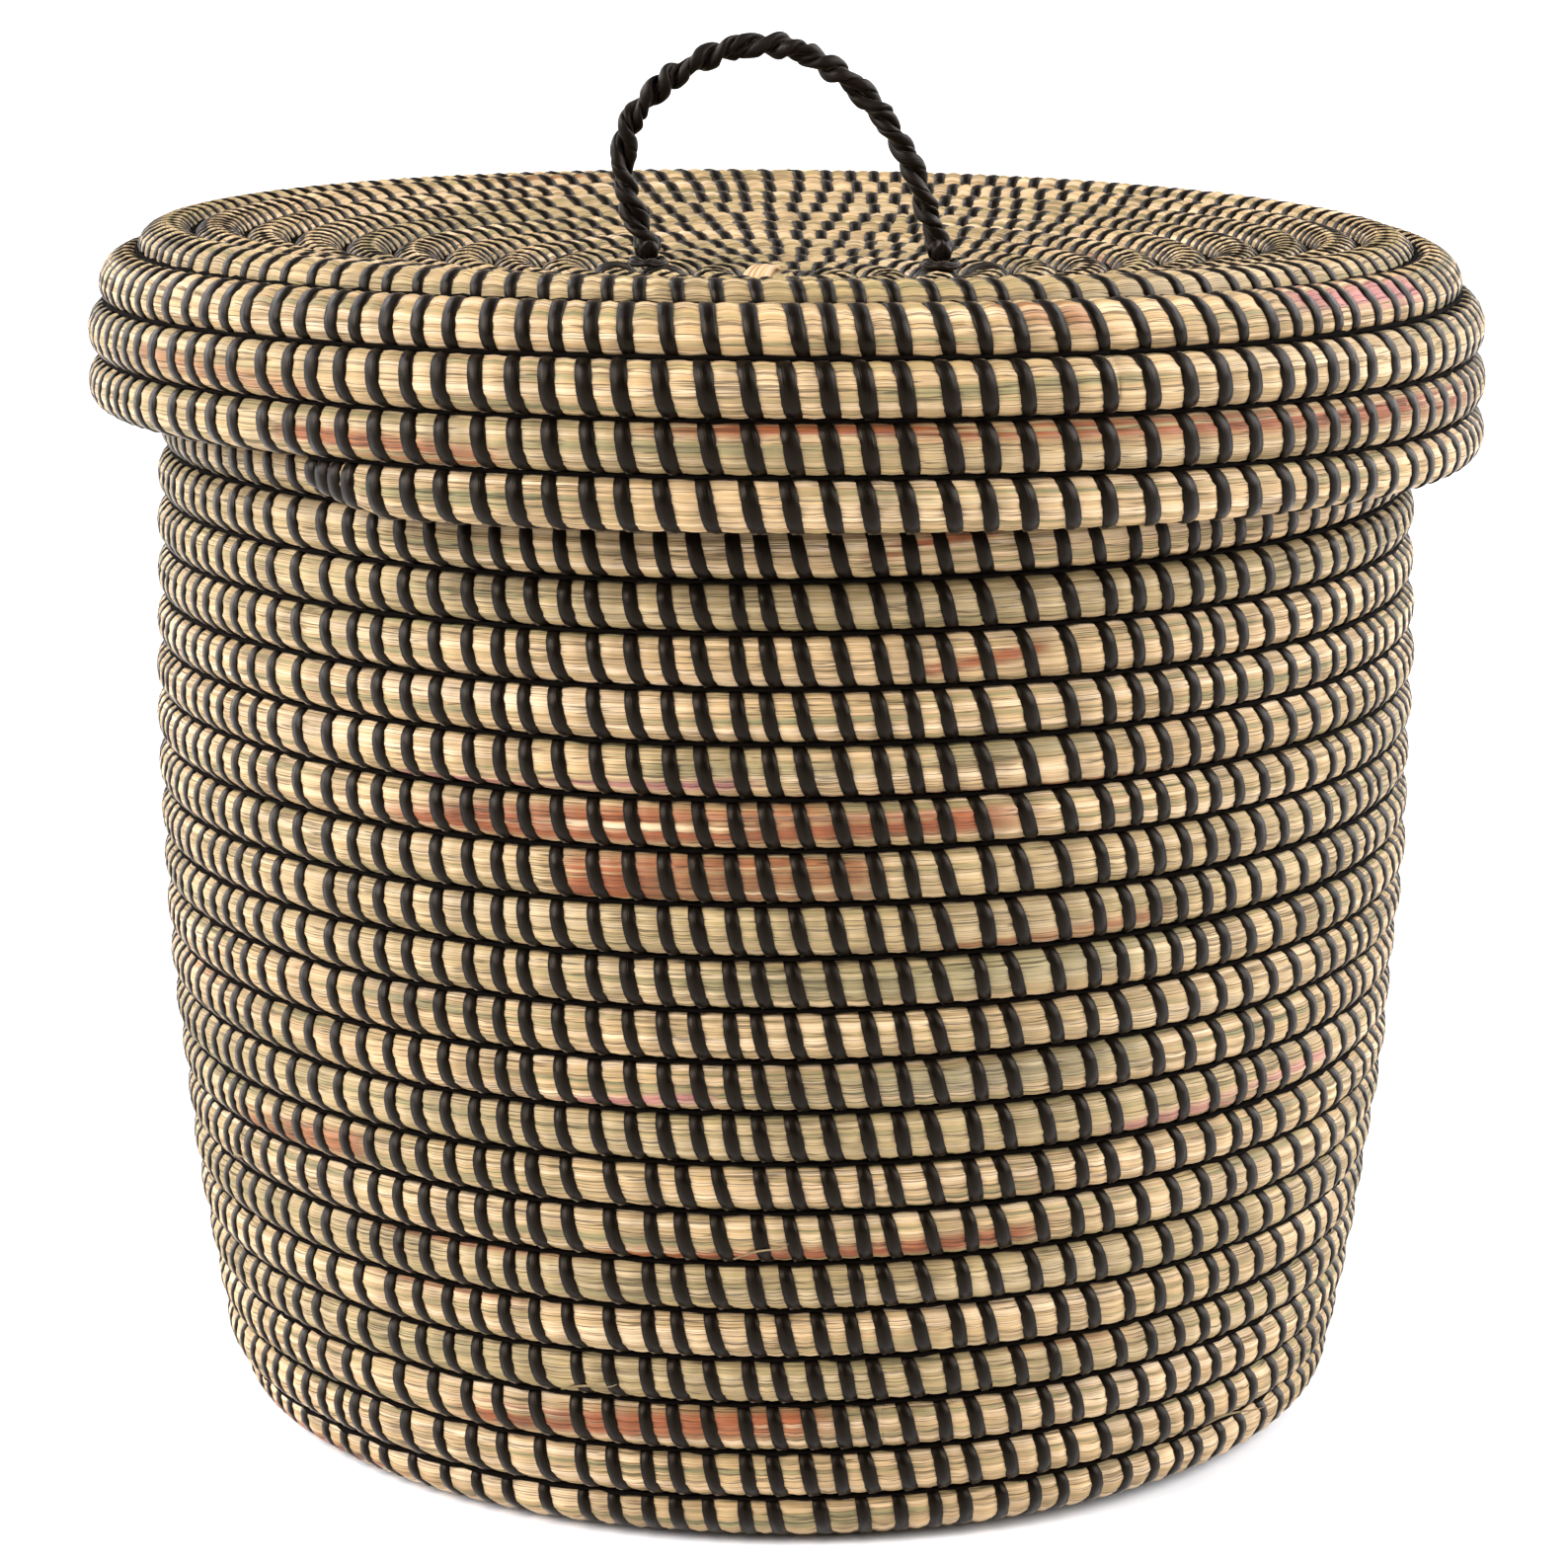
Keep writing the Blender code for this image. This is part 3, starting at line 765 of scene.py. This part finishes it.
RUST_SHARE, PINK_SHARE, GREEN_SHARE = range(3)
WALL_BLADES = (
    Blades(RUST_SHARE, 0.1634, -20.0, 9.0, 0.75, 0.26),
    Blades(GREEN_SHARE, 0.1634, -12.0, 9.0, 0.74, 0.16, 0.3),
    Blades(RUST_SHARE, 0.1755, -38.0, 22.0, 0.72, 0.11),
    Blades(RUST_SHARE, 0.1755, -30.0, 5.0, 0.83, 0.07, 0.8),
    Blades(PINK_SHARE, 0.1876, -36.0, -1.0, 0.64, 0.055),
    Blades(RUST_SHARE, 0.2360, 6.0, 18.0, 0.80, 0.05),
    Blades(RUST_SHARE, 0.2118, 10.0, 22.0, 0.74, 0.05),
    Blades(RUST_SHARE, 0.0787, -18.0, 25.0, 0.67, 0.08),
    Blades(RUST_SHARE, 0.0303, -32.0, 6.0, 0.78, 0.12),
    Blades(PINK_SHARE, 0.1150, -20.0, -5.0, 0.66, 0.06),
    Blades(RUST_SHARE, 0.1513, 12.0, 35.0, 0.66, 0.06, 0.7),
    Blades(PINK_SHARE, 0.1029, 28.0, 60.0, 0.70, 0.07, 0.8),
    Blades(RUST_SHARE, 0.0908, -60.0, -38.0, 0.72, 0.12, 0.8),
    Blades(GREEN_SHARE, 0.1876, -15.0, 30.0, 0.84, 0.12, 0.7),
    Blades(GREEN_SHARE, 0.1392, -10.0, 40.0, 0.80, 0.16, 0.7),
    Blades(GREEN_SHARE, 0.1150, -5.0, 35.0, 0.78, 0.16, 0.7),
)
LID_BLADES = (
    Blades(RUST_SHARE, 0.2605, -14.0, 74.0, 0.345, 0.095),
    Blades(RUST_SHARE, 0.2605, -42.0, -20.0, 0.20, 0.11, 0.9),
    Blades(PINK_SHARE, 0.2840, 42.0, 64.0, 0.24, 0.12),
    Blades(RUST_SHARE, 0.2840, 15.0, 24.0, 0.28, 0.10, 0.6),
    Blades(RUST_SHARE, 0.2725, -62.0, -36.0, 0.22, 0.08, 0.6),
)


def make_basket(grass, strip, shade):
    """The basket's rope, from the middle of the base to the bound end at the rim."""
    profile = basket_profile()
    coil = Coil(profile, BASKET_PITCH, hand=1,
                end=profile.distance_at_height(RIM_HEIGHT) - BASKET_PITCH / 2,
                stitch=BASKET_STITCH, strip=BASKET_STRIP, lean=BASKET_LEAN, bow=BASKET_BOW,
                seed=11)
    coil.angle, coil.blades = BASKET_START_ANGLE, WALL_BLADES
    coil.edge = profile.distance_at_height(CORNER_TOP) - CORNER_LENGTH
    coil.places = place_stitches(coil)
    split = coil.length_at_distance(coil.edge)
    make_coil(coil, "basket", (("base", 0.0, split, ("base_coil",)),
                               ("wall", split, coil.length, ("wall_coil", "rim_end_binding"))),
              grass, strip, shade)
    return coil


def make_lid(grass, strip, shade):
    """The lid's rope, from the middle of the dish to the bound end of the skirt."""
    profile = lid_profile()
    coil = Coil(profile, LID_PITCH, hand=-1,
                end=profile.distances[-1] + profile.points[-1, 1] - SKIRT_END_HEIGHT,
                stitch=LID_STITCH, strip=LID_STRIP, lean=LID_LEAN, bow=0.0, seed=23)
    coil.angle, coil.blades = LID_END_ANGLE + 360.0 * coil.full_turns, LID_BLADES
    coil.edge = float(np.interp(DISH_RADIUS, profile.points[:, 0], profile.distances))
    split = coil.length_at_distance(coil.edge)
    coil.sag = (SAG_SIDES, SAG_RIGHT)
    coil.sewing = ([split * share for share in DISH_SEWING_ENDS], (DISH_SHARE, 1.0))
    coil.places = place_stitches(coil)
    make_coil(coil, "lid", (("lid_top", 0.0, split, ("lid_top_coil",)),
                            ("lid_skirt", split, coil.length,
                             ("lid_skirt_coil", "lid_end_binding"))), grass, strip, shade)
    return coil


def start_knot(coil, name, body, node, grass):
    """The folded start in the middle: a domed snail shape."""
    sides, steps = 36, 9
    rings = []
    centre_height = coil.profile.at(0.0, 0.0)[1]
    for step in range(2 * steps + 1):
        slope = math.pi * (step / (2 * steps) - 0.5)
        turn = np.arange(sides) / sides
        radius = (KNOT_RADIUS + coil.pitch * turn) * max(math.cos(slope), 0.02) ** 0.6
        theta = math.radians(coil.angle) + coil.hand * 2 * math.pi * turn
        height = centre_height + ROPE_HALF * np.sign(slope) * abs(math.sin(slope)) ** 0.9
        rings.append(np.stack((radius * np.cos(theta), radius * np.sin(theta),
                               np.full(sides, height)), axis=-1))
    made = skin(name, rings, np.linspace(0, 0.04, len(rings)), wide=0.02)
    finish_piece(made, grass, body, "seagrass", node)


def strap(name, first, last, rise, width, thickness=STRIP_THICKNESS):
    """A strip from one point to another, arched over what lies between."""
    share = np.linspace(0.0, 1.0, 40)[:, None]
    first, last = np.array(first), np.array(last)
    points = first + (last - first) * share
    points[:, 2:] += rise * np.sin(math.pi * share) ** 0.6
    ahead = np.gradient(points, axis=0)
    normals = np.cross(np.cross(ahead, (0.0, 0.0, 1.0)), ahead)
    normals /= np.linalg.norm(normals, axis=1)[:, None]
    return ribbon(name, points, normals, width * (1 - 0.3 * share[:, 0]), thickness)


def cover_start(coil, strip, leaf):
    """The folded leaf over the lid's start, and the strips that hold it."""
    top = coil.profile.at(0.0, ROPE_HALF)[1] - 0.0012
    fold = strap("lid_start_leaf", (*LEAF_ENDS[0], top - 0.001), (*LEAF_ENDS[1], top),
                 rise=0.0026, width=LEAF_WIDTH, thickness=LEAF_THICKNESS)
    finish_piece(fold, leaf, "lid", "seagrass", "lid_start_knot")
    for number, x in enumerate(START_STRIPS):
        held = strap(f"lid_start_strip_{number + 1}", (x - 0.001, -START_STRIP_REACH, top - 0.002),
                     (x + 0.0025, START_STRIP_REACH, top - 0.002), rise=0.0030,
                     width=START_STRIP_WIDTH)
        finish_piece(held, strip, "lid", "black_strip", "lid_start_knot")


def loose_straw(coil, name, turn, reach, out, grass):
    """A straw that has slipped from a stitch and stands off the wall."""
    share = np.linspace(0.0, 1.0, 30)
    length = float(coil.length_at(turn)) + reach * share
    around = 0.62 + 0.16 * share + 0.02 * np.sin(5 * share)
    line = coil.surface(length, around, 0.97, out * share ** 2)
    ahead = np.gradient(line, axis=0)
    ahead /= np.linalg.norm(ahead, axis=1)[:, None]
    side = np.cross(ahead, (0.0, 0.0, 1.0))
    up = np.cross(side, ahead)
    rings = []
    radius = STRAW_RADIUS * (1.0 - 0.75 * share)[:, None]
    for turned in np.arange(6) / 6 * 2 * math.pi:
        rings.append(line + radius * (side * math.cos(turned) + up * math.sin(turned)))
    made = skin(name, np.stack(rings, axis=1), reach * share, wide=0.003)
    finish_piece(made, grass, "basket", "seagrass")


def make_straws(coil, grass):
    """Two straws that the front shows, and a few at random places."""
    draw = random.Random(4)
    straws = [(coil.turn_near(height, math.radians(degrees)), reach, out)
              for height, degrees, reach, out in FRONT_STRAWS]
    turns = [draw.uniform(12.0, 29.0) for _ in range(STRAW_COUNT)]
    straws += [(turn, draw.uniform(0.008, 0.016), draw.uniform(0.001, 0.003)) for turn in turns]
    for number, (turn, reach, out) in enumerate(straws, 1):
        loose_straw(coil, f"loose_straw_{number}", turn, reach, out, grass)


def smooth_route(points, step):
    """Evenly spaced points on a Catmull-Rom curve through the given (x, z) points."""
    knots = [np.array(point) for point in points]
    knots = [2 * knots[0] - knots[1]] + knots + [2 * knots[-1] - knots[-2]]
    dense = []
    for before, start, end, after in zip(knots, knots[1:], knots[2:], knots[3:]):
        for t in np.linspace(0.0, 1.0, 40, endpoint=False):
            dense.append(0.5 * (2 * start + (end - before) * t
                                + (2 * before - 5 * start + 4 * end - after) * t ** 2
                                + (3 * start - before - 3 * end + after) * t ** 3))
    dense = np.array(dense + [knots[-2]])
    lengths = np.concatenate(([0.0], np.cumsum(np.hypot(*np.diff(dense, axis=0).T))))
    distances = np.linspace(0.0, lengths[-1], round(lengths[-1] / step) + 1)
    points = np.stack([np.interp(distances, lengths, dense[:, axis]) for axis in (0, 1)], axis=1)
    return distances, points


def swing(points, distances, offset, pitch, phase, seed):
    """Points moved off a line and round it, once a pitch, with the way out at each."""
    ahead = np.gradient(points, axis=0)
    ahead /= np.linalg.norm(ahead, axis=1)[:, None]
    side = np.cross(ahead, (0.0, 1.0, 0.0))
    side /= np.linalg.norm(side, axis=1)[:, None]
    up = np.cross(side, ahead)
    turn = phase + 2 * math.pi * distances / pitch + 0.7 * ripple(distances * 170, seed, (1, 2.3))
    out = side * np.cos(turn)[:, None] + up * np.sin(turn)[:, None]
    uneven = offset * (1 + 0.22 * ripple(distances * 330, seed + 1, (1.0, 1.7, 3.1)))
    return points + uneven[:, None] * out, out


def handle_ply(name, strand, ply, hinge):
    """One flat strip of the handle, twisted with another into one of its two strands."""
    distances, route = smooth_route(HANDLE_ROUTE, HANDLE_STEP)
    line = np.stack((route[:, 0], np.zeros(len(route)), route[:, 1] + hinge), axis=1)
    seed = 10 * strand + 3 * ply + 1
    line, _ = swing(line, distances, STRAND_OFFSET, TWIST_LENGTH, math.pi * strand, 5)
    line, out = swing(line, distances, PLY_OFFSET, PLY_TWIST, math.pi * ply, seed)
    ahead = np.gradient(line, axis=0)
    across = np.cross(ahead, out)
    across /= np.linalg.norm(across, axis=1)[:, None]
    swell = 1 + 0.20 * ripple(distances * 420, seed + 2, (1.0, 1.9, 3.3))
    rings = []
    for angle in np.arange(PLY_SIDES) / PLY_SIDES * 2 * math.pi:
        rough = (swell + 0.07 * np.sin(3 * angle + distances * 900))[:, None]
        rings.append(line + rough * (across * PLY_HALF_WIDTH * math.cos(angle)
                                     + out * PLY_HALF_THICKNESS * math.sin(angle)))
    return skin(name, np.stack(rings, axis=1), distances, wide=0.009)


def foot_knot(name, centre, radius):
    """The strips knotted into a ball at the end of the handle."""
    slope = np.linspace(-1.45, 1.45, 26)[:, None]
    angle = (np.arange(40) / 40 * 2 * math.pi)[None, :]
    lump = 1.0 + 0.07 * np.sin(5 * angle + 3.5 * slope) + 0.03 * np.sin(9 * angle - 6 * slope)
    reach = radius * lump * np.cos(slope)
    rings = np.stack((reach * np.cos(angle), reach * np.sin(angle),
                      radius * lump * np.sin(slope)), axis=-1) + np.array(centre)
    return skin(name, rings, np.linspace(0.0, 0.012, len(slope)), wide=0.02)


def whipping(name, centre, radii, heights, turns, width):
    """A strip laid in a spiral round a centre, from one radius and height to another, with
    its face turned up and out."""
    share = np.linspace(0.0, 1.0, round(40 * turns))
    angle = 2 * math.pi * turns * share
    radius = radii[0] + (radii[1] - radii[0]) * share + 0.0002 * np.sin(7 * angle)
    height = heights[0] + (heights[1] - heights[0]) * share + 0.0002 * np.sin(5.3 * angle)
    points = np.stack((centre[0] + radius * np.cos(angle), centre[1] + radius * np.sin(angle),
                       height), axis=1)
    normals = np.stack((0.5 * np.cos(angle), 0.5 * np.sin(angle), np.ones(len(angle))), axis=1)
    normals /= np.linalg.norm(normals, axis=1)[:, None]
    return ribbon(name, points, normals, width)


def box_middle(node):
    """Middle of a CAD node's box."""
    low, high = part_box(node)
    return 0.5 * (low + high)


def lash_rows(coil, side, strip):
    """Strip sewn over the rows on both sides of a foot of the handle."""
    centre = box_middle(f"handle_eye_{side}")
    away = coil.turn_to(math.atan2(centre.y, centre.x))
    row = math.floor((math.hypot(centre.x, centre.y) - coil.start) / coil.pitch - away)
    for number in (0, 1):
        middle = float(coil.length_at(row + number + away))
        starts = middle + LASHING_SPACING * np.arange(-1.5, 1.5)
        gaps = np.full(len(starts), LASHING_SPACING)
        made = winding(coil, f"handle_lashing_{side}_{number + 1}", starts, gaps, LASHING_LIFT)
        finish_piece(made, strip, "lid", "black_strip", f"handle_anchor_{side}")


def wrap_foot(side, strip):
    """Strip wound round a foot's anchor on top of the lid, and over its tie underneath."""
    centre = box_middle(f"handle_eye_{side}")
    ring = whipping(f"handle_anchor_strip_{side}", centre, ANCHOR_RADII,
                    [centre.z - depth for depth in ANCHOR_DEPTHS], 2, ANCHOR_STRIP)
    finish_piece(ring, strip, "lid", "black_strip", f"handle_anchor_{side}")
    low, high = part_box(f"handle_tie_{side}")
    tie = whipping(f"handle_tie_strip_{side}", 0.5 * (low + high), TIE_RADII,
                   (high.z - TIE_INSETS[0], low.z + TIE_INSETS[1]), 4, TIE_STRIP)
    finish_piece(tie, strip, "lid", "black_strip", f"handle_tie_{side}")


def make_handle(coil, strip):
    """The twisted handle, its two knotted feet, and the strip that holds them to the lid."""
    hinge = box_middle("handle_eye_left").z
    for strand, side in enumerate(("front", "back")):
        for ply in (0, 1):
            made = handle_ply(f"handle_{side}_strip_{ply + 1}", strand, ply, hinge)
            finish_piece(made, strip, "handle", "black_strip", f"handle_strand_{side}")
    for side in ("left", "right"):
        knot = foot_knot(f"handle_foot_knot_{side}", box_middle(f"handle_eye_{side}"),
                         FOOT_KNOT_RADIUS)
        finish_piece(knot, strip, "handle", "black_strip", f"handle_eye_{side}")
        lash_rows(coil, side, strip)
        wrap_foot(side, strip)


# --------------------------------------------------------------------------- studio

def make_studio():
    """A pale floor, a faint warm room, soft keys from both sides, and soft lights behind."""
    bpy.ops.mesh.primitive_plane_add(size=60.0, location=(0.0, 0.0, 0.0))
    floor = bpy.context.object
    floor.name = "studio_floor"
    floor.data.materials.append(plain_material("studio_floor", FLOOR_COLOUR, 0.7, 0.3))
    world = bpy.data.worlds.new("studio_world")
    world.use_nodes = True
    background = world.node_tree.nodes["Background"]
    background.inputs["Color"].default_value = WORLD_COLOUR
    background.inputs["Strength"].default_value = WORLD_STRENGTH
    bpy.context.scene.world = world
    for light in LIGHTS:
        add_light(*light)
    bpy.context.scene.view_settings.view_transform = "Standard"


def add_light(name, azimuth, elevation, power, width, colour):
    """A distant light as wide as its angle in the sky, aimed at the object."""
    light = bpy.data.lights.new(name, "SUN")
    light.energy, light.color, light.angle = power, colour, math.radians(width)
    lamp = bpy.data.objects.new(name, light)
    aim = Matrix.Rotation(math.radians(azimuth), 4, "Z")
    lamp.matrix_world = aim @ Matrix.Rotation(math.radians(90.0 - elevation), 4, "X")
    bpy.context.scene.collection.objects.link(lamp)


def make_camera():
    """In front, a little above, looking down, with the small roll that the view has."""
    data = bpy.data.cameras.new("camera")
    data.lens = CAMERA_LENS
    data.sensor_width = 36.0
    data.clip_end = 20.0
    camera = bpy.data.objects.new("camera", data)
    bpy.context.scene.collection.objects.link(camera)
    aim = Matrix.Rotation(math.radians(90.0 - CAMERA_PITCH), 4, "X")
    roll = Matrix.Rotation(math.radians(CAMERA_ROLL), 4, "Z")
    place = Matrix.Translation((0.0, -CAMERA_DISTANCE, CAMERA_HEIGHT))
    camera.matrix_world = place @ aim @ roll
    bpy.context.scene.camera = camera


def main():
    make_camera()
    make_studio()
    grass = grass_material()
    strip = strip_material("sewn_black_strip", SEWN_BLACK, 0.36)
    handle_strip = strip_material("handle_black_strip", HANDLE_BLACK, 0.42)
    # Matte black band in the grooves: the strip's run, and painted shade between the rows.
    shade = plain_material("groove_strip_and_painted_shade", GROOVE_STRIP_AND_SHADE, 0.9, 0.04)
    basket = make_basket(grass, strip, shade)
    lid = make_lid(grass, strip, shade)
    start_knot(basket, "base_start", "basket", "base_start_knot", grass)
    start_knot(lid, "lid_start", "lid", "lid_start_knot", grass)
    cover_start(lid, strip, leaf_material())
    make_straws(basket, grass)
    make_handle(lid, handle_strip)


main()
